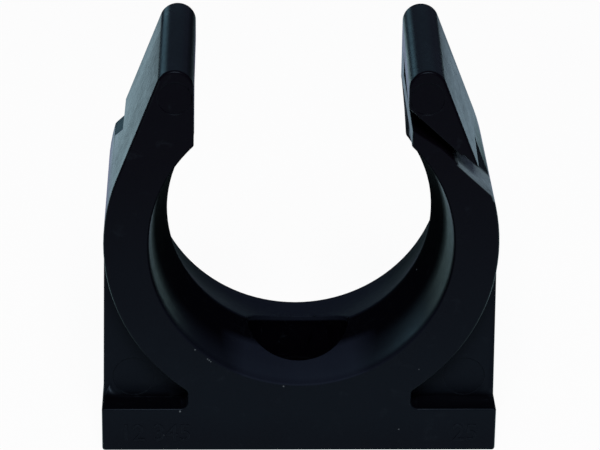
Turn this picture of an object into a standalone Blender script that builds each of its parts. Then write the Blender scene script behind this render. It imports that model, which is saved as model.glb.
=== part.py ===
"""Snap-in conduit clip, moulded in one piece.

A flat base carries a round cradle whose two arms end in rounded tips. The bore narrows to a
crest at mid-depth, and its floor holds a recessed screw hole. Webs, set back from both end
faces, fill the corners between base and cradle. A slanting slot cuts into each arm from one
end face: the right arm from the front, the left arm from the rear.

The origin is the centre of the base's underside. X runs along the base, Y along the conduit
and Z up. Every size is in metres.
"""

import math

import bmesh
import bpy
from mathutils import Matrix, Vector

# Conduit and the bore that grips it
CONDUIT_DIAMETER = 0.025
BORE_CLEARANCE = 0.0001  # round the conduit at the crest
BORE_FLARE = 0.0016  # growth of the radius from the crest to a rim
CREST_LAND = 0.0004
BORE_EDGE = 0.0002  # rounding of each rim

# Base
BASE_WIDTH = 0.0375
BASE_THICKNESS = 0.0045
DEPTH = 0.0184
EDGE_ROUNDING = 0.00025

# Cradle and arms
BORE_SHARE = 0.549  # height of the bore's axis as a share of the whole height
CRADLE_WALL = 0.0058  # at the crest
MOUTH_SHARE = 0.8  # width of the mouth as a share of the conduit
TIP_RADIUS = 0.00172
HEIGHT = 0.0388
FOOT_WIDTH = 0.0212  # wider where the cradle's round side comes lower
FOOT_FILLET = 0.0007
FOOT_UPRIGHT = 0.0002  # least height of the foot's upright side above the fillet

# Webs
WEB_RECESS = 0.0025
WEB_STEP = 0.0001  # what the base stands out past the web's lower end

# Screw hole
HEAD_RECESS_DIAMETER = 0.0097
SCREW_HOLE_DIAMETER = 0.0052
SEAT_HEIGHT = 0.0042

# Slots
SLOT_ANGLE = math.radians(43.0)  # fall of the slot, going outwards
SLOT_NECK_IN = 0.00294  # from the arm's inner face
SLOT_NECK_BELOW_TOP = 0.00727
SLOT_GAP = 0.00075
SLOT_INNER_DROP = 0.00107  # from the slot's line to its lower side, at the arm's inner face
SLOT_DEPTH = 0.0143
LEDGE_START = 0.00225  # from the neck, along the slot
LEDGE_GAP = 0.0011
LEDGE_DEPTH = 0.0055  # halfway up its closed end, which rises from the floor as a ramp
LEDGE_RAMP = 0.0040
RIGHT_LEAN = 0.00042  # inward set of the right arm's freed end at its open face
LEFT_LEAN = 0.00013

# Shallow round moulding marks on the front
ARM_MARK_RADIUS = 0.00155
ARM_MARK_BELOW_TOP = 0.0027
WEB_MARK_SHARE = 0.262  # its radius, of the length of the base beside the foot
WEB_MARK_PLACE = 0.6  # its centre, along that length from the foot
WEB_MARK_GAP = 0.00025  # above the base
MARK_DEPTH = 0.00012

# Fineness of the curves
BORE_STEPS = 112
FLARE_STEPS = 6
EDGE_STEPS = 2
HOLE_STEPS = 56
MARK_STEPS = 40
ARC_STEP = math.radians(3.0)
SAME_PLANE = math.radians(0.2)
OVERCUT = 0.002

# Sizes that follow from the ones above
BORE_HEIGHT = BORE_SHARE * HEIGHT
CREST_RADIUS = CONDUIT_DIAMETER / 2 + BORE_CLEARANCE
RIM_RADIUS = CREST_RADIUS + BORE_FLARE
CRADLE_RADIUS = CREST_RADIUS + CRADLE_WALL
MOUTH_HALF = MOUTH_SHARE * CONDUIT_DIAMETER / 2
HALF_DEPTH = DEPTH / 2
TIP_X = MOUTH_HALF + TIP_RADIUS
TIP_Z = HEIGHT - TIP_RADIUS
# Height, from the bore's axis, at which the foot's upright side meets the cradle's round side
FOOT_TOP = max(
    -math.sqrt(CRADLE_RADIUS**2 - FOOT_WIDTH**2 / 4),
    BASE_THICKNESS + FOOT_FILLET + FOOT_UPRIGHT - BORE_HEIGHT,
)
HALF_FOOT = math.sqrt(CRADLE_RADIUS**2 - FOOT_TOP**2)
SLOT_NECK_X = MOUTH_HALF + SLOT_NECK_IN
SLOT_NECK_HEIGHT = HEIGHT - SLOT_NECK_BELOW_TOP
BASE_BESIDE_FOOT = BASE_WIDTH / 2 - HALF_FOOT - FOOT_FILLET
WEB_MARK_RADIUS = WEB_MARK_SHARE * BASE_BESIDE_FOOT
WEB_MARK_X = HALF_FOOT + FOOT_FILLET + WEB_MARK_PLACE * BASE_BESIDE_FOOT
WEB_MARK_HEIGHT = BASE_THICKNESS + WEB_MARK_GAP + WEB_MARK_RADIUS


def clear_scene():
    for thing in list(bpy.data.objects):
        bpy.data.objects.remove(thing, do_unlink=True)


def collection_of(name):
    made = bpy.data.collections.new(name)
    bpy.context.scene.collection.children.link(made)
    return made


def arc(centre_x, centre_z, radius, start, end):
    """Points of an arc, both ends included, in the plane of the end faces."""
    steps = max(2, math.ceil(abs(end - start) / ARC_STEP))
    turns = [start + (end - start) * i / steps for i in range(steps + 1)]
    return [(centre_x + radius * math.cos(a), centre_z + radius * math.sin(a)) for a in turns]


def facet_angle():
    """Slope of the normal of the arm's flat outer side, which touches both the cradle and the tip."""
    across = TIP_X
    up = TIP_Z - BORE_HEIGHT
    return math.atan2(up, across) - math.acos((CRADLE_RADIUS - TIP_RADIUS) / math.hypot(across, up))


def web_angle():
    """Where the web's side touches the cradle."""
    across = BASE_WIDTH / 2 - WEB_STEP
    down = BASE_THICKNESS - BORE_HEIGHT
    return math.atan2(down, across) + math.acos(CRADLE_RADIUS / math.hypot(across, down))


def right_half():
    """The outline's right half, from the underside up the outside and down to the bore."""
    foot = math.asin(FOOT_TOP / CRADLE_RADIUS)
    points = [(BASE_WIDTH / 2, 0.0), (BASE_WIDTH / 2, BASE_THICKNESS)]
    points += arc(
        HALF_FOOT + FOOT_FILLET,
        BASE_THICKNESS + FOOT_FILLET,
        FOOT_FILLET,
        -math.pi / 2,
        -math.pi,
    )
    points += arc(0.0, BORE_HEIGHT, CRADLE_RADIUS, foot, web_angle())
    points += arc(0.0, BORE_HEIGHT, CRADLE_RADIUS, web_angle(), facet_angle())[1:]
    points += arc(TIP_X, TIP_Z, TIP_RADIUS, facet_angle(), math.pi)
    points.append((MOUTH_HALF, BORE_HEIGHT))
    return points


def mirrored(points):
    return [(-x, z) for x, z in reversed(points)]


def prism(name, outline, low_y, high_y, collection):
    """A solid with this outline in X and Z, from low_y to high_y."""
    curve = bpy.data.curves.new(name, "CURVE")
    curve.dimensions = "2D"
    curve.fill_mode = "BOTH"
    curve.extrude = (high_y - low_y) / 2
    spline = curve.splines.new("POLY")
    spline.points.add(len(outline) - 1)
    for point, (x, z) in zip(spline.points, outline):
        point.co = (x, z, 0.0, 1.0)
    spline.use_cyclic_u = True
    drawn = bpy.data.objects.new(name + "_curve", curve)
    bpy.context.scene.collection.objects.link(drawn)
    bpy.context.view_layer.update()
    graph = bpy.context.evaluated_depsgraph_get()
    mesh = bpy.data.meshes.new_from_object(drawn.evaluated_get(graph))
    bpy.data.objects.remove(drawn, do_unlink=True)
    # The curve lies in X and Y, so it is stood up and set at its depth.
    stand = Matrix.Rotation(math.pi / 2, 4, "X")
    mesh.transform(Matrix.Translation((0.0, (low_y + high_y) / 2, 0.0)) @ stand)
    weld(mesh)
    return placed(name, mesh, collection)


def weld(mesh):
    """Joins a drawn prism's caps to its sides and makes each flat face one face."""
    shape = bmesh.new()
    shape.from_mesh(mesh)
    bmesh.ops.remove_doubles(shape, verts=shape.verts, dist=1e-7)
    bmesh.ops.dissolve_limit(
        shape, angle_limit=SAME_PLANE, verts=shape.verts, edges=shape.edges
    )
    bmesh.ops.recalc_face_normals(shape, faces=shape.faces)
    shape.to_mesh(mesh)
    shape.free()


def placed(name, mesh, collection):
    made = bpy.data.objects.new(name, mesh)
    collection.objects.link(made)
    return made


def turned(name, profile, steps, turn, collection):
    """A solid turned from (radius, height) points about its own upright axis, then put in place."""
    mesh = bpy.data.meshes.new(name)
    points = [(radius, 0.0, height) for radius, height in profile]
    mesh.from_pydata(points, [(i, i + 1) for i in range(len(points) - 1)], [])
    made = placed(name, mesh, collection)
    screw = made.modifiers.new("Screw", "SCREW")
    screw.axis = "Z"
    screw.angle = math.tau
    screw.steps = steps
    screw.render_steps = steps
    screw.use_merge_vertices = True
    screw.merge_threshold = 1e-6
    screw.use_smooth_shade = True
    made.matrix_world = turn
    return made


def helper(made):
    made.hide_render = True
    made.display_type = "WIRE"
    return made


def cut(body, cutter, operation="DIFFERENCE"):
    step = body.modifiers.new(cutter.name, "BOOLEAN")
    step.operation = operation
    step.solver = "EXACT"
    step.object = cutter


def fixed(body):
    """Makes the modifiers' result the body's own mesh."""
    bpy.context.view_layer.update()
    graph = bpy.context.evaluated_depsgraph_get()
    mesh = bpy.data.meshes.new_from_object(body.evaluated_get(graph))
    body.modifiers.clear()
    body.data = mesh


def bore_cutter(collection):
    """The bore's hourglass: it swells from the crest in a quarter wave, then rounds out at each rim."""
    land = CREST_LAND / 2
    inside = HALF_DEPTH - BORE_EDGE
    half = [(0.0, HALF_DEPTH + OVERCUT), (RIM_RADIUS + BORE_EDGE, HALF_DEPTH + OVERCUT)]
    for step in range(EDGE_STEPS):
        turn = step / EDGE_STEPS * math.pi / 2
        out = BORE_EDGE * (1 - math.sin(turn))
        half.append((RIM_RADIUS + out, inside + BORE_EDGE * math.cos(turn)))
    for step in range(FLARE_STEPS, -1, -1):
        share = step / FLARE_STEPS
        swell = BORE_FLARE * math.sin(share * math.pi / 2)
        half.append((CREST_RADIUS + swell, land + (inside - land) * share))
    profile = half + [(radius, -height) for radius, height in reversed(half)]
    turn = Matrix.Translation((0.0, 0.0, BORE_HEIGHT)) @ Matrix.Rotation(math.pi / 2, 4, "X")
    return helper(turned("bore_cutter", profile, BORE_STEPS, turn, collection))


def hole_cutter(collection):
    head = HEAD_RECESS_DIAMETER / 2
    shank = SCREW_HOLE_DIAMETER / 2
    profile = [
        (0.0, BORE_HEIGHT),
        (head, BORE_HEIGHT),
        (head, SEAT_HEIGHT),
        (shank, SEAT_HEIGHT),
        (shank, -OVERCUT),
        (0.0, -OVERCUT),
    ]
    return helper(turned("hole_cutter", profile, HOLE_STEPS, Matrix.Identity(4), collection))


def mark_cutter(name, x, z, radius, face_y, collection):
    profile = [
        (0.0, MARK_DEPTH),
        (radius, MARK_DEPTH),
        (radius, -OVERCUT),
        (0.0, -OVERCUT),
    ]
    turn = Matrix.Translation((x, face_y, z)) @ Matrix.Rotation(-math.pi / 2, 4, "X")
    return helper(turned(name, profile, MARK_STEPS, turn, collection))


def slot_point(along, across):
    """A point given along the slot, outwards and down from its neck, and across it."""
    return (
        SLOT_NECK_X + along * math.cos(SLOT_ANGLE) + across * math.sin(SLOT_ANGLE),
        SLOT_NECK_HEIGHT - along * math.sin(SLOT_ANGLE) + across * math.cos(SLOT_ANGLE),
    )


def slot_outlines(lean):
    """Outlines of a slot's deep inner part and shallow outer part, for an arm end set in by lean."""
    reach = CRADLE_RADIUS - MOUTH_HALF
    # The sides go on in a straight line past the arm's inner face, as far as they go to it.
    to_face = 2 * SLOT_NECK_IN / math.cos(SLOT_ANGLE)
    # The arm end above the slot comes down by this when it is set inwards.
    drop = lean * math.sin(SLOT_ANGLE)
    low, high = -SLOT_GAP / 2, SLOT_GAP / 2 + drop
    inner = [
        slot_point(-to_face, -low - 2 * SLOT_INNER_DROP),
        slot_point(0.0, low),
        slot_point(LEDGE_START + SLOT_GAP, low),
        slot_point(LEDGE_START + SLOT_GAP, high),
        slot_point(-to_face, high),
    ]
    outer = [
        slot_point(LEDGE_START, -LEDGE_GAP / 2),
        slot_point(LEDGE_START + reach, -LEDGE_GAP / 2),
        slot_point(LEDGE_START + reach, LEDGE_GAP / 2 + drop),
        slot_point(LEDGE_START, LEDGE_GAP / 2 + drop),
    ]
    return inner, outer


def slot_cutters(collection):
    right_slot, right_ledge = slot_outlines(RIGHT_LEAN)
    left_slot, left_ledge = slot_outlines(LEFT_LEAN)
    front = -HALF_DEPTH - OVERCUT
    rear = HALF_DEPTH + OVERCUT
    made = [
        prism("slot_right", right_slot, front, SLOT_DEPTH - HALF_DEPTH, collection),
        prism("ledge_right", right_ledge, front, LEDGE_DEPTH - HALF_DEPTH, collection),
        prism("slot_left", mirrored(left_slot), HALF_DEPTH - SLOT_DEPTH, rear, collection),
        prism("ledge_left", mirrored(left_ledge), HALF_DEPTH - LEDGE_DEPTH, rear, collection),
    ]
    ramp_end(made[1], 1)
    ramp_end(made[3], -1)
    return [helper(piece) for piece in made]


def across_slot(x, z):
    """How far a point of either arm lies above the slot's line."""
    return (abs(x) - SLOT_NECK_X) * math.sin(SLOT_ANGLE) + (z - SLOT_NECK_HEIGHT) * math.cos(SLOT_ANGLE)


def ramp_end(ledge, side):
    """Slants the closed end, so that the floor starts to rise before the upper side ends."""
    for vertex in ledge.data.vertices:
        if HALF_DEPTH + side * vertex.co.y > LEDGE_DEPTH / 2:
            rise = across_slot(vertex.co.x, vertex.co.z) / LEDGE_GAP
            vertex.co.y += side * LEDGE_RAMP * rise


def web_body(collection):
    touch = web_angle()
    right = [
        (BASE_WIDTH / 2 - WEB_STEP, BASE_THICKNESS / 2),
        (BASE_WIDTH / 2 - WEB_STEP, BASE_THICKNESS),
        (CRADLE_RADIUS * math.cos(touch), BORE_HEIGHT + CRADLE_RADIUS * math.sin(touch)),
        (CREST_RADIUS, BORE_HEIGHT),
    ]
    outline = right + mirrored(right)
    return helper(
        prism("webs", outline, WEB_RECESS - HALF_DEPTH, HALF_DEPTH - WEB_RECESS, collection)
    )


def lean_arm_end(shape, side, lean):
    """Sets one freed arm end inwards, most at its open face and nothing at its closed one."""
    across = Vector((side * math.sin(SLOT_ANGLE), 0.0, math.cos(SLOT_ANGLE)))
    neck = Vector((side * SLOT_NECK_X, 0.0, SLOT_NECK_HEIGHT))
    low = -SLOT_GAP / 2
    high = SLOT_GAP / 2 + lean * math.sin(SLOT_ANGLE)
    # Faces are parted at the slot's two sides, so that they bend only between them.
    for level in (low, high):
        bmesh.ops.bisect_plane(
            shape,
            geom=shape.verts[:] + shape.edges[:] + shape.faces[:],
            dist=1e-6,
            plane_co=neck + across * level,
            plane_no=across,
        )
    for vertex in shape.verts:
        if side * vertex.co.x > 0:
            share = (across_slot(vertex.co.x, vertex.co.z) - low) / (high - low)
            open_share = 0.5 - side * vertex.co.y / DEPTH
            vertex.co.x -= side * lean * open_share * min(max(share, 0.0), 1.0)


def lean_arm_ends(mesh):
    shape = bmesh.new()
    shape.from_mesh(mesh)
    lean_arm_end(shape, 1, RIGHT_LEAN)
    lean_arm_end(shape, -1, LEFT_LEAN)
    shape.to_mesh(mesh)
    shape.free()


def moulded_plastic():
    made = bpy.data.materials.new("black_plastic")
    made.use_nodes = True
    shader = made.node_tree.nodes["Principled BSDF"]
    shader.inputs["Base Color"].default_value = (0.012, 0.013, 0.016, 1.0)
    shader.inputs["Roughness"].default_value = 0.42
    shader.inputs["Metallic"].default_value = 0.0
    return made


def main():
    clear_scene()
    clip = collection_of("conduit_clip")
    cutters = collection_of("cutters")
    cutters.hide_render = True

    outline = right_half() + mirrored(right_half())
    body = prism("clip_body", outline, -HALF_DEPTH, HALF_DEPTH, clip)
    rounding = body.modifiers.new("Rounding", "BEVEL")
    rounding.width = EDGE_ROUNDING
    rounding.segments = 2
    rounding.limit_method = "ANGLE"
    rounding.angle_limit = math.radians(40.0)

    cut(body, web_body(cutters), "UNION")
    cut(body, bore_cutter(cutters))
    cut(body, hole_cutter(cutters))
    for piece in slot_cutters(cutters):
        cut(body, piece)

    web_face = WEB_RECESS - HALF_DEPTH
    arm_mark = HEIGHT - ARM_MARK_BELOW_TOP
    for side, name in ((1, "right"), (-1, "left")):
        at_arm = (side * TIP_X, arm_mark, ARM_MARK_RADIUS, -HALF_DEPTH)
        at_web = (side * WEB_MARK_X, WEB_MARK_HEIGHT, WEB_MARK_RADIUS, web_face)
        cut(body, mark_cutter("arm_mark_" + name, *at_arm, cutters))
        cut(body, mark_cutter("web_mark_" + name, *at_web, cutters))

    fixed(body)
    lean_arm_ends(body.data)
    body.data.materials.clear()
    body.data.materials.append(moulded_plastic())
    body.data.shade_smooth()


main()
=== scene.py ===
import math

import bmesh
import bpy
from mathutils import Matrix, Vector


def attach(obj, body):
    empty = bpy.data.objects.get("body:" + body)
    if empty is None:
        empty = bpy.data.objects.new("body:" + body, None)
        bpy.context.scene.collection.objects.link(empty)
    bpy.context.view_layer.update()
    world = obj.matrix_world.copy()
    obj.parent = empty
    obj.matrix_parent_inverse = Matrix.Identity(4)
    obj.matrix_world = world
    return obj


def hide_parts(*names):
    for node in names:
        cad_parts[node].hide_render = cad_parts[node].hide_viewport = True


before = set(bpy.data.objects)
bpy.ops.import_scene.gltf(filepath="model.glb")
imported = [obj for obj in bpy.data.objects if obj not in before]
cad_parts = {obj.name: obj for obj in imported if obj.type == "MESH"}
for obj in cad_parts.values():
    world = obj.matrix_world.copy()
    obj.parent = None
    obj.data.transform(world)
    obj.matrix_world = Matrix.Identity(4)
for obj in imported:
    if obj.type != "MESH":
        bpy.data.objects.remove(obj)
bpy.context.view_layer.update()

# The photograph's camera, with lengths in widths of the clip's base
BASE_WIDTH = 0.0375
CAMERA_PLACE = (-0.22896, -7.23103, 3.72374)
CAMERA_DOWN = math.radians(23.882)
CAMERA_RIGHT = math.radians(1.837)
CAMERA_ROLL = math.radians(0.794)
FOCAL_PIXELS = 3100.1
IMAGE_WIDTH = 600
SENSOR = 36.0
CLIP_START = 0.01
CLIP_END = 10.0

# The clip's edges
SAME_PLACE = 1e-6
SAME_PLANE = math.radians(0.4)
SHARP_EDGE = math.radians(32.0)
EDGE_ROUNDING = 0.00012
EDGE_STEPS = 2
STRIP_SHARE = 0.4  # of a face's height across an edge, at most, that the edge's rounding takes
NORMAL_WEIGHT = 80

# Raised numbers on the base's front: name, text, left end, lower edge and height of the figures
NUMBERS = (
    ("base_number_left", "12 345", -0.0171, 0.00112, 0.0018),
    ("base_number_right", "25", 0.0146, 0.00112, 0.0018),
)
NUMBER_RELIEF = 0.00005
FIGURE_HEIGHT = 0.73  # of the font's size
FIGURE_STEPS = 5
FRONT = -0.0092

# Values that a mask has at the start and at the end of a band
RISE = (0.0, 1.0)
FALL = (1.0, 0.0)

# The bore: its axis, its crest, and its swelling from there to each rim
BORE_HEIGHT = 0.0213
CREST_RADIUS = 0.0126
BORE_FLARE = 0.0016
FLARE_RATE = 178.5  # radians of the quarter wave to a metre of depth

# The bore's tones, by radius, by turn from its lowest line, and by depth from front to rear: its
# gloss, and a colour of painted shade beside the crest that passes into painted sheen by the rims.
# Each tone is a band and the values at its two ends.
BORE_WALL = (0.01428, 0.01440), FALL
BORE_FLOOR_TURN = (0.38, 0.60), FALL
ACROSS_MIDDLE = (-0.002, 0.002)
FRONT_WIDENING = ACROSS_MIDDLE, (0.0, 0.0007)  # the front part goes deeper on the right
FRONT_DEPTH = (-0.0064, -0.0042), FALL
FRONT_RIM = (-0.0089, -0.0079), (0.2, 1.0)
REAR_DEPTH = (-0.0004, 0.0002), RISE
FRONT_SHEEN = ACROSS_MIDDLE, (0.028, 0.038)
REAR_SHEEN = 0.011
# Where the bore's colour passes from painted shade into painted sheen
PAINTED_SHEEN_DEPTH = (-0.0088, -0.0040), (0.5, 0.04)
PAINTED_SHEEN_TURN = (0.9, 1.3), (1.0, 0.2)
PAINTED_SHEEN_FLOOR_DEPTH = (-0.0036, -0.0026), FALL
PAINTED_SHEEN_REAR_TURN = (0.6, 0.9), (0.8, 0.35)

# Painted shade: the screw recess, the base's top before the webs and the left arm's inner face,
# darkened where shade falls
RECESS_WALL = (0.00492, 0.00500), FALL
RECESS_TOP = (0.0105, 0.0115), FALL
RECESS_UNDER_BORE = (0.0003, 0.0005), RISE
RECESS_FRONT = (0.0, 0.0005), FALL
POCKET_TOP = (0.0047, 0.0052), FALL
POCKET_BOTTOM = (0.0041, 0.0043), RISE
POCKET_DEPTH = (-0.00912, -0.00905), RISE
POCKET_SHADE = 0.85
INNER_FACING = (0.6, 0.8), RISE
INNER_ACROSS = (-0.0075, -0.0070), FALL
INNER_BOTTOM = (0.0285, 0.0295), RISE
INNER_SHADE = 0.5

# The arms' outer facets, and the painted reflection of the floor that makes the clip paler towards
# its foot, with painted shade along the base's bottom
OUTER_FACING = (0.7, 0.85), RISE
OUTER_BOTTOM = (0.024, 0.027), RISE
OUTER_ACROSS = (0.0110, 0.0115), RISE
TIP_DULLING = (0.0345, 0.0375), (0.0, 0.7)
FOOT_PAINTED_REFLECTION = (0.008, 0.030), FALL
BASE_PAINTED_SHADE = (0.001, 0.004), (0.7, 1.0)

# The right slot's neck, its fall outwards, and its ledge, along and across the slot from the neck
SLOT_NECK = (0.01294, 0.03153)
SLOT_TURN = (math.cos(math.radians(43.0)), math.sin(math.radians(43.0)))
# Where the right slot's ledge carries a painted highlight
LEDGE_BELOW = 0.0006
LEDGE_ALONG = (0.0017, 0.0026), RISE
LEDGE_ACROSS = (0.0002, 0.0003), FALL
LEDGE_REAR = (-0.0030, -0.0015), FALL
LEDGE_FRONT = (-0.00918, -0.0091), RISE
LEDGE_CLOUDS = (0.3, 0.65), (0.55, 1.0)

# Noise: scale, detail, roughness and distortion
GRAIN = (5200.0, 4.0, 0.62, 0.0)
PORES = (1700.0, 3.0, 0.55, 0.0)
SWELL = (260.0, 2.0, 0.5, 0.0)
PATCHES = (110.0, 4.0, 0.6, 0.4)
SCUFFS = (520.0, 5.0, 0.7, 0.6)
SCUFF_STRETCH = (1.0, 6.0, 1.4)
SCUFF_SHARE = (0.60, 0.74), RISE
STREAKS = (420.0, 3.0, 0.6, 0.0)
STREAK_STRETCH = (9.0, 0.5, 9.0)
STREAK_SHARE = (0.5, 0.75), RISE
PATCH_BAND = (0.3, 0.7)

# Wear: dust, nicks in the front (across, height and radius) and rubbed edges
DUST_SCALE = 620.0
DUST_SIZE = (0.05, 0.085), FALL
DUST_SHARE = (0.955, 0.965), RISE
NICKS = (
    (-0.01033, 0.01177, 0.00009),
    (-0.00989, 0.01075, 0.00009),
    (-0.00871, 0.00977, 0.00008),
    (-0.00856, 0.00964, 0.00008),
    (-0.00842, 0.00950, 0.00007),
    (-0.00153, 0.00689, 0.00010),
    (-0.01290, 0.00170, 0.00007),
    (0.00950, 0.00230, 0.00008),
)
NICK_CORE = 0.6  # of a nick's radius
NICK_PALENESS = 0.45
WEAR_RADIUS = 0.00025
WEAR_SAMPLES = 6
WEAR_BEND = (0.80, 0.995), FALL
WEAR_CLOUDS = (0.42, 0.62), (0.15, 1.0)

# Colours of the plastic
DEEP = (0.0027, 0.0011, 0.0023, 1.0)
# Painted reflection of the floor, paler on the lower clip
FLOOR_REFLECTION_PALE = (0.0050, 0.0043, 0.0065, 1.0)
# Painted shade: the near-black of the bore beside its crest and of the shaded places
SHADE_BLACK = (0.0009, 0.0004, 0.0010, 1.0)
# Painted sheen: the blue-grey of the bore towards its rims and along its floor
PAINTED_SHEEN = (0.0116, 0.0095, 0.0164, 1.0)
RUBBED = (0.020, 0.017, 0.022, 1.0)
# Painted highlight on the right slot's ledge
LEDGE_HIGHLIGHT = (0.31, 0.27, 0.285, 1.0)
SPECK = (0.22, 0.16, 0.17, 1.0)
PALE_CLOUDS = PATCH_BAND, (0.88, 1.1)
PAINTED_SHEEN_CLOUDS = PATCH_BAND, (0.85, 1.1)
WORN_PALENESS = 0.45
SCUFF_PALENESS = 0.25
STREAK_PALENESS = 0.10

# Shine of the plastic
GLOSS = 0.065
BORE_GLOSS_DROP = 0.061
DULLING = (0.0, 1.0), (1.0, 0.03)
IOR = 1.45
SPECULAR_TINT = (0.92, 0.76, 1.0, 1.0)
COAT_WEIGHT = 0.4
COAT_IOR = 1.0
COAT_TINT = (0.0, 0.96, 1.0, 1.0)

# Roughness of the plastic, and what each feature adds to it
ROUGHNESS = PATCH_BAND, (0.26, 0.34)
PORE_ROUGHNESS = 0.16
SCUFF_ROUGHNESS = 0.12
BORE_ROUGHNESS = (0.0, 0.03), (0.45, 0.05)
DARK_ROUGHNESS = 0.4
OUTER_ROUGHNESS = (-0.5, 0.5), (-0.06, 0.02)
WORN_ROUGHNESS = -0.05

# Relief of the plastic
GRAIN_RELIEF = 0.40
PORE_RELIEF = 0.45
SWELL_RELIEF = 0.9
STREAK_RELIEF = 0.3
SCUFF_RELIEF = 0.18
BUMP_STRENGTH = 0.35
BUMP_DISTANCE = 0.00002

# The floor: white round the clip, and grey further out
FLOOR_RADII = (0.05, 0.2, 1.5)
FLOOR_STEPS = 96
FLOOR_DROP = 0.0001
FLOOR_WHITE_BAND = (0.154, 0.17), FALL
FLOOR_PALE = (0.86, 0.86, 0.86, 1.0)
FLOOR_GREY = (0.12, 0.12, 0.15, 1.0)
WHITE = (1.0, 1.0, 1.0, 1.0)
WHITE_SHARE = 0.94

# Light. Each lamp has a name, a place, a size, a power and a colour
LAMPS = (
    ("front_lamp", (0.0, -0.75, 0.8), (0.5, 0.4), 11.0, (1.0, 1.0, 1.0)),
    ("back_left_lamp", (-0.42, 0.82, 0.11), (0.36, 0.2), 0.3, (0.65, 0.85, 1.0)),
    ("back_lamp", (0.0, 0.9, 0.44), (0.9, 0.16), 0.16, (0.6, 0.8, 1.0)),
)
LAMP_AIM = (0.0, 0.0, 0.02)
WORLD_COLOUR = (0.115, 0.10, 0.145, 1.0)


def photograph_camera():
    """Sets the camera where the photograph was taken from."""
    ahead = Vector(
        (
            math.sin(CAMERA_RIGHT) * math.cos(CAMERA_DOWN),
            math.cos(CAMERA_RIGHT) * math.cos(CAMERA_DOWN),
            -math.sin(CAMERA_DOWN),
        )
    )
    level = Vector((math.cos(CAMERA_RIGHT), -math.sin(CAMERA_RIGHT), 0.0))
    above = level.cross(ahead)
    right = level * math.cos(CAMERA_ROLL) + above * math.sin(CAMERA_ROLL)
    up = above * math.cos(CAMERA_ROLL) - level * math.sin(CAMERA_ROLL)
    lens = bpy.data.cameras.new("camera")
    lens.sensor_width = SENSOR
    lens.lens = FOCAL_PIXELS / IMAGE_WIDTH * SENSOR
    lens.clip_start = CLIP_START
    lens.clip_end = CLIP_END
    made = bpy.data.objects.new("camera", lens)
    turn = Matrix((right, up, -ahead)).transposed().to_4x4()
    made.matrix_world = Matrix.Translation(Vector(CAMERA_PLACE) * BASE_WIDTH) @ turn
    bpy.context.scene.collection.objects.link(made)
    bpy.context.scene.camera = made


class Nodes:
    """Short ways to add nodes to a tree and to join them."""

    def __init__(self, tree):
        self.tree = tree

    def give(self, socket, value):
        """Links another node's output to a socket, or sets the socket to a constant."""
        if isinstance(value, bpy.types.NodeSocket):
            self.tree.links.new(value, socket)
        else:
            socket.default_value = value

    def add(self, kind, inputs=None, **settings):
        node = self.tree.nodes.new(kind)
        for name, value in settings.items():
            setattr(node, name, value)
        for name, value in (inputs or {}).items():
            self.give(node.inputs[name], value)
        return node

    def math(self, operation, *values, clamp=False):
        inputs = dict(enumerate(values))
        return self.add("ShaderNodeMath", inputs, operation=operation, use_clamp=clamp).outputs[0]

    def chain(self, operation, values):
        """Takes the values together from the first to the last."""
        result = values[0]
        for value in values[1:]:
            result = self.math(operation, result, value)
        return result

    def times(self, *values):
        return self.chain("MULTIPLY", values)

    def plus(self, *values):
        return self.chain("ADD", values)

    def most(self, *values):
        return self.chain("MAXIMUM", values)

    def minus(self, first, second):
        return self.math("SUBTRACT", first, second)

    def without_sign(self, value):
        return self.math("ABSOLUTE", value)

    def length(self, first, second):
        return self.math("SQRT", self.plus(self.times(first, first), self.times(second, second)))

    def ramp(self, value, tone):
        """A value read on a tone: a band, and what it becomes at the band's start and end."""
        (start, end), (at_start, at_end) = tone
        inputs = {"Value": value, 1: start, 2: end, 3: at_start, 4: at_end}
        return self.add("ShaderNodeMapRange", inputs, clamp=True).outputs[0]

    def noise(self, place, kind):
        names = ("Scale", "Detail", "Roughness", "Distortion")
        inputs = {"Vector": place, **dict(zip(names, kind))}
        return self.add("ShaderNodeTexNoise", inputs).outputs["Fac"]

    def stretched(self, place, scale):
        return self.add("ShaderNodeMapping", {"Vector": place, "Scale": scale}).outputs[0]

    def blend(self, share, first, second):
        node = self.add("ShaderNodeMix", {0: share}, data_type="RGBA")
        self.give(node.inputs[6], first)
        self.give(node.inputs[7], second)
        return node.outputs[2]


class Place:
    """Where a point of the surface lies, and which way it faces."""

    def __init__(self, n):
        self.point = n.add("ShaderNodeTexCoord").outputs["Object"]
        split = n.add("ShaderNodeSeparateXYZ", {0: self.point}).outputs
        self.x, self.y, self.z = split[0], split[1], split[2]
        self.normal = n.add("ShaderNodeNewGeometry").outputs["Normal"]
        self.side = n.add("ShaderNodeSeparateXYZ", {0: self.normal}).outputs[0]
        up = n.minus(self.z, BORE_HEIGHT)
        self.radius = n.length(self.x, up)
        self.turn = n.without_sign(n.math("ARCTAN2", self.x, n.times(up, -1.0)))


def bore_tones(n, at):
    """The bore's wall and its floor as masks, its gloss level, and where its colour is painted
    sheen rather than painted shade.
    """
    wall = n.ramp(at.radius, BORE_WALL)
    floor_part = n.ramp(at.turn, BORE_FLOOR_TURN)
    widened = n.minus(at.y, n.ramp(at.x, FRONT_WIDENING))
    front_part = n.times(n.ramp(widened, FRONT_DEPTH), n.ramp(at.y, FRONT_RIM))
    rear_part = n.ramp(at.y, REAR_DEPTH)
    sheen = n.plus(
        n.times(front_part, n.ramp(at.x, FRONT_SHEEN)),
        n.times(rear_part, REAR_SHEEN),
    )
    painted_sheen = n.most(
        n.times(n.ramp(at.y, PAINTED_SHEEN_DEPTH), n.ramp(at.turn, PAINTED_SHEEN_TURN)),
        n.times(floor_part, n.ramp(at.y, PAINTED_SHEEN_FLOOR_DEPTH)),
        n.times(rear_part, n.ramp(at.turn, PAINTED_SHEEN_REAR_TURN)),
    )
    return wall, floor_part, sheen, painted_sheen


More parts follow.
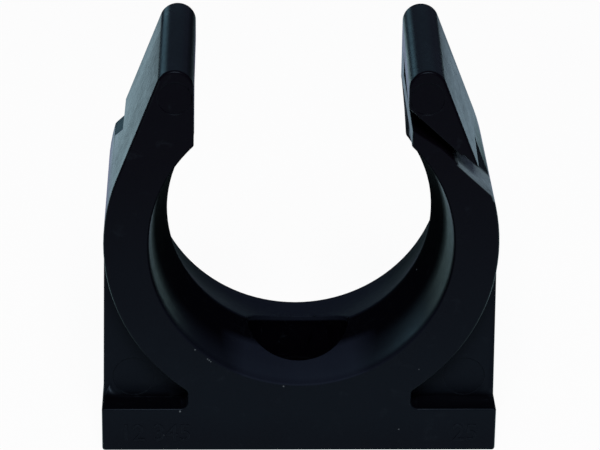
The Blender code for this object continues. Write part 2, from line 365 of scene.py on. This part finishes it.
def painted_shade_places(n, at):
    """Painted shade in the screw recess, on the base's top before the webs and on the left arm's
    inner face.
    """
    flare = n.times(
        n.math("SINE", n.times(n.without_sign(at.y), FLARE_RATE)),
        BORE_FLARE,
    )
    under_bore = n.minus(n.minus(at.radius, CREST_RADIUS), flare)
    recess = n.times(
        n.ramp(n.length(at.x, at.y), RECESS_WALL),
        n.ramp(at.z, RECESS_TOP),
        n.most(n.ramp(under_bore, RECESS_UNDER_BORE), n.ramp(at.y, RECESS_FRONT)),
    )
    pocket = n.times(
        n.ramp(at.z, POCKET_TOP),
        n.ramp(at.y, POCKET_DEPTH),
        n.ramp(at.z, POCKET_BOTTOM),
    )
    inner = n.times(
        n.ramp(at.side, INNER_FACING),
        n.ramp(at.x, INNER_ACROSS),
        n.ramp(at.z, INNER_BOTTOM),
    )
    return n.most(recess, n.times(pocket, POCKET_SHADE), n.times(inner, INNER_SHADE))


def outer_facets(n, at):
    return n.times(
        n.ramp(n.without_sign(at.side), OUTER_FACING),
        n.ramp(at.z, OUTER_BOTTOM),
        n.ramp(n.without_sign(at.x), OUTER_ACROSS),
    )


def painted_ledge_highlight(n, at, swell):
    """The right slot's outer ledge, made pale in patches by a painted highlight."""
    from_neck = n.minus(at.x, SLOT_NECK[0])
    above_neck = n.minus(at.z, SLOT_NECK[1])
    along = n.minus(n.times(from_neck, SLOT_TURN[0]), n.times(above_neck, SLOT_TURN[1]))
    across = n.plus(n.times(from_neck, SLOT_TURN[1]), n.times(above_neck, SLOT_TURN[0]))
    off_ledge = n.without_sign(n.plus(across, LEDGE_BELOW))
    return n.times(
        n.ramp(along, LEDGE_ALONG),
        n.ramp(off_ledge, LEDGE_ACROSS),
        n.ramp(at.y, LEDGE_REAR),
        n.ramp(at.y, LEDGE_FRONT),
        n.ramp(swell, LEDGE_CLOUDS),
    )


def dust_and_nicks(n, at):
    cells = n.add("ShaderNodeTexVoronoi", {"Vector": at.point, "Scale": DUST_SCALE}, feature="F1")
    pick = n.add("ShaderNodeSeparateColor", {"Color": cells.outputs["Color"]}).outputs[0]
    specks = n.times(n.ramp(cells.outputs["Distance"], DUST_SIZE), n.ramp(pick, DUST_SHARE))
    for across, height, radius in NICKS:
        ends = {0: at.point, 1: (across, FRONT, height)}
        away = n.add("ShaderNodeVectorMath", ends, operation="DISTANCE").outputs["Value"]
        nick = n.ramp(away, ((radius * NICK_CORE, radius), FALL))
        specks = n.most(specks, n.times(nick, NICK_PALENESS))
    return specks


def rubbed_edges(n, at, pores):
    """Edges, found by how far a rounded normal turns from the plain one."""
    bevel = n.add("ShaderNodeBevel", {"Radius": WEAR_RADIUS}, samples=WEAR_SAMPLES)
    normals = {0: bevel.outputs[0], 1: at.normal}
    same = n.add("ShaderNodeVectorMath", normals, operation="DOT_PRODUCT").outputs["Value"]
    return n.math("MULTIPLY", n.ramp(same, WEAR_BEND), n.ramp(pores, WEAR_CLOUDS), clamp=True)


def black_plastic():
    """Black moulded plastic: grain, gloss by place, wear, dust; painted shade, sheen and
    highlight.
    """
    made = bpy.data.materials.new("moulded_black_plastic")
    made.use_nodes = True
    n = Nodes(made.node_tree)
    at = Place(n)

    grain = n.noise(at.point, GRAIN)
    pores = n.noise(at.point, PORES)
    swell = n.noise(at.point, SWELL)
    patches = n.noise(at.point, PATCHES)
    scuffs = n.ramp(n.noise(n.stretched(at.point, SCUFF_STRETCH), SCUFFS), SCUFF_SHARE)
    streaks = n.ramp(n.noise(n.stretched(at.point, STREAK_STRETCH), STREAKS), STREAK_SHARE)

    bore, floor_part, sheen, painted_sheen = bore_tones(n, at)
    streaks = n.times(streaks, n.times(bore, floor_part))
    painted_shade = painted_shade_places(n, at)
    outer = outer_facets(n, at)
    ledge_highlight = painted_ledge_highlight(n, at, swell)
    specks = dust_and_nicks(n, at)
    worn = rubbed_edges(n, at, pores)

    # Painted reflection of the floor: paler towards the foot, with painted shade along the base's
    # bottom
    low = n.times(n.ramp(at.z, FOOT_PAINTED_REFLECTION), n.ramp(at.z, BASE_PAINTED_SHADE))
    painted_reflection = n.math("MULTIPLY", low, n.ramp(patches, PALE_CLOUDS), clamp=True)
    colour = n.blend(painted_reflection, DEEP, FLOOR_REFLECTION_PALE)
    # Inside the bore, painted shade beside the crest passes into painted sheen towards the rims
    painted_bore_tone = n.blend(n.times(painted_sheen, n.ramp(patches, PAINTED_SHEEN_CLOUDS)), SHADE_BLACK, PAINTED_SHEEN)
    colour = n.blend(bore, colour, painted_bore_tone)
    # Painted shade in the screw recess, in the pockets and on the left arm's inner face
    colour = n.blend(painted_shade, colour, SHADE_BLACK)
    colour = n.blend(n.times(worn, WORN_PALENESS), colour, RUBBED)
    colour = n.blend(n.times(scuffs, SCUFF_PALENESS), colour, RUBBED)
    colour = n.blend(n.times(streaks, STREAK_PALENESS), colour, RUBBED)
    # Painted highlight on the right slot's ledge
    colour = n.blend(ledge_highlight, colour, LEDGE_HIGHLIGHT)
    colour = n.blend(specks, colour, SPECK)

    gloss = n.plus(GLOSS, n.times(bore, n.minus(sheen, BORE_GLOSS_DROP)))
    tips = n.times(outer, n.ramp(at.z, TIP_DULLING))
    gloss = n.times(gloss, n.ramp(n.most(painted_shade, tips), DULLING))

    rough = n.plus(
        n.ramp(patches, ROUGHNESS),
        n.times(n.minus(pores, 0.5), PORE_ROUGHNESS),
        n.times(scuffs, SCUFF_ROUGHNESS),
        n.most(n.times(bore, n.ramp(sheen, BORE_ROUGHNESS)), n.times(painted_shade, DARK_ROUGHNESS)),
        n.times(outer, n.ramp(at.side, OUTER_ROUGHNESS)),
    )
    rough = n.math("ADD", rough, n.times(worn, WORN_ROUGHNESS), clamp=True)

    height = n.plus(
        n.times(grain, GRAIN_RELIEF),
        n.times(pores, PORE_RELIEF),
        n.times(swell, SWELL_RELIEF),
        n.times(streaks, STREAK_RELIEF),
    )
    height = n.minus(height, n.times(scuffs, SCUFF_RELIEF))
    relief = {"Strength": BUMP_STRENGTH, "Distance": BUMP_DISTANCE, "Height": height}
    bump = n.add("ShaderNodeBump", relief)

    shader = made.node_tree.nodes["Principled BSDF"]
    # The coat is a bluish bloom that shows at every angle and adds no shine of its own.
    settings = {
        "Base Color": colour,
        "Roughness": rough,
        "Specular IOR Level": gloss,
        "Normal": bump.outputs[0],
        "IOR": IOR,
        "Specular Tint": SPECULAR_TINT,
        "Coat Weight": COAT_WEIGHT,
        "Coat IOR": COAT_IOR,
        "Coat Tint": COAT_TINT,
    }
    for name, value in settings.items():
        n.give(shader.inputs[name], value)
    return made


def softened_clip(material):
    """The clip with its faces made whole and its sharp outward edges rounded."""
    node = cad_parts["clip_body"]
    mesh = node.data.copy()
    mesh.name = "clip"
    mesh.transform(node.matrix_world)
    shape = bmesh.new()
    shape.from_mesh(mesh)
    bmesh.ops.remove_doubles(shape, verts=shape.verts, dist=SAME_PLACE)
    bmesh.ops.dissolve_limit(
        shape, angle_limit=SAME_PLANE, verts=shape.verts, edges=shape.edges
    )
    share = shape.edges.layers.float.new("bevel_weight_edge")
    for edge in shape.edges:
        edge.smooth = True
        if edge.is_convex and edge.calc_face_angle(0.0) > SHARP_EDGE:
            across = min(face.calc_area() for face in edge.link_faces) / edge.calc_length()
            edge[share] = min(1.0, STRIP_SHARE * across / EDGE_ROUNDING)
    for face in shape.faces:
        face.smooth = True
    shape.to_mesh(mesh)
    shape.free()
    if mesh.attributes.get("custom_normal"):
        mesh.attributes.remove(mesh.attributes["custom_normal"])
    mesh.materials.clear()
    mesh.materials.append(material)
    clip = bpy.data.objects.new("clip", mesh)
    bpy.context.scene.collection.objects.link(clip)

    rounding = clip.modifiers.new("Rounding", "BEVEL")
    rounding.width = EDGE_ROUNDING
    rounding.segments = EDGE_STEPS
    rounding.limit_method = "WEIGHT"
    rounding.use_clamp_overlap = False
    normals = clip.modifiers.new("Normals", "WEIGHTED_NORMAL")
    normals.keep_sharp = True
    normals.weight = NORMAL_WEIGHT
    return clip


def raised_number(name, text, left, low, height, material):
    """A number standing a little out of the base's front."""
    curve = bpy.data.curves.new(name, "FONT")
    curve.body = text
    curve.size = height / FIGURE_HEIGHT
    curve.extrude = NUMBER_RELIEF
    curve.bevel_depth = NUMBER_RELIEF / 2
    curve.bevel_resolution = 1
    curve.resolution_u = FIGURE_STEPS
    drawn = bpy.data.objects.new(name + "_curve", curve)
    bpy.context.scene.collection.objects.link(drawn)
    bpy.context.view_layer.update()
    graph = bpy.context.evaluated_depsgraph_get()
    mesh = bpy.data.meshes.new_from_object(drawn.evaluated_get(graph))
    bpy.data.objects.remove(drawn, do_unlink=True)
    stand = Matrix.Rotation(math.pi / 2, 4, "X")
    mesh.transform(Matrix.Translation((left, FRONT, low)) @ stand)
    mesh.materials.clear()
    mesh.materials.append(material)
    made = bpy.data.objects.new(name, mesh)
    bpy.context.scene.collection.objects.link(made)
    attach(made, "root")


def floor_material():
    """Pale and plain round the clip, white where it is seen or mirrored, and grey further out."""
    made = bpy.data.materials.new("floor")
    made.use_nodes = True
    nodes = made.node_tree.nodes
    nodes.remove(nodes["Principled BSDF"])
    n = Nodes(made.node_tree)
    path = n.add("ShaderNodeLightPath").outputs
    seen = n.math("ADD", path["Is Camera Ray"], path["Is Glossy Ray"], clamp=True)
    seen = n.math("ADD", seen, path["Is Transmission Ray"], clamp=True)
    place = n.add("ShaderNodeTexCoord").outputs["Object"]
    away = n.add("ShaderNodeVectorMath", {0: place}, operation="LENGTH").outputs["Value"]
    near = n.ramp(away, FLOOR_WHITE_BAND)
    plain = n.add("ShaderNodeBsdfDiffuse", {"Color": n.blend(near, FLOOR_GREY, FLOOR_PALE)})
    white = n.add("ShaderNodeEmission", {"Color": WHITE, "Strength": 1.0})
    mixed = n.add(
        "ShaderNodeMixShader",
        {0: n.times(seen, WHITE_SHARE, near), 1: plain.outputs[0], 2: white.outputs[0]},
    )
    n.give(nodes["Material Output"].inputs["Surface"], mixed.outputs[0])
    return made


def floor():
    """A wide round floor."""
    shape = bmesh.new()
    turns = [math.tau * step / FLOOR_STEPS for step in range(FLOOR_STEPS)]
    rings = [
        [shape.verts.new((radius * math.cos(a), radius * math.sin(a), -FLOOR_DROP)) for a in turns]
        for radius in FLOOR_RADII
    ]
    shape.faces.new(rings[0])
    for inner, outer in zip(rings, rings[1:]):
        for step in range(FLOOR_STEPS):
            after = (step + 1) % FLOOR_STEPS
            shape.faces.new((inner[step], outer[step], outer[after], inner[after]))
    mesh = bpy.data.meshes.new("floor")
    shape.to_mesh(mesh)
    shape.free()
    mesh.materials.append(floor_material())
    made = bpy.data.objects.new("floor", mesh)
    bpy.context.scene.collection.objects.link(made)


def soft_lamp(name, place, size, power, colour):
    """A rectangular soft lamp that faces the clip."""
    lamp = bpy.data.lights.new(name, "AREA")
    lamp.shape = "RECTANGLE"
    lamp.size, lamp.size_y = size
    lamp.energy = power
    lamp.color = colour
    made = bpy.data.objects.new(name, lamp)
    away = Vector(place) - Vector(LAMP_AIM)
    turn = away.to_track_quat("Z", "Y").to_matrix().to_4x4()
    made.matrix_world = Matrix.Translation(place) @ turn
    bpy.context.scene.collection.objects.link(made)


def studio():
    """The floor, the lamps and the world's faint light."""
    floor()
    for lamp in LAMPS:
        soft_lamp(*lamp)
    world = bpy.data.worlds.new("world")
    world.use_nodes = True
    sky = world.node_tree.nodes["Background"]
    sky.inputs["Color"].default_value = WORLD_COLOUR
    sky.inputs["Strength"].default_value = 1.0
    bpy.context.scene.world = world
    bpy.context.scene.view_settings.view_transform = "Standard"


photograph_camera()
studio()
plastic = black_plastic()
clip = softened_clip(plastic)
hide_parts("clip_body")
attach(clip, "root")
for number in NUMBERS:
    raised_number(*number, plastic)
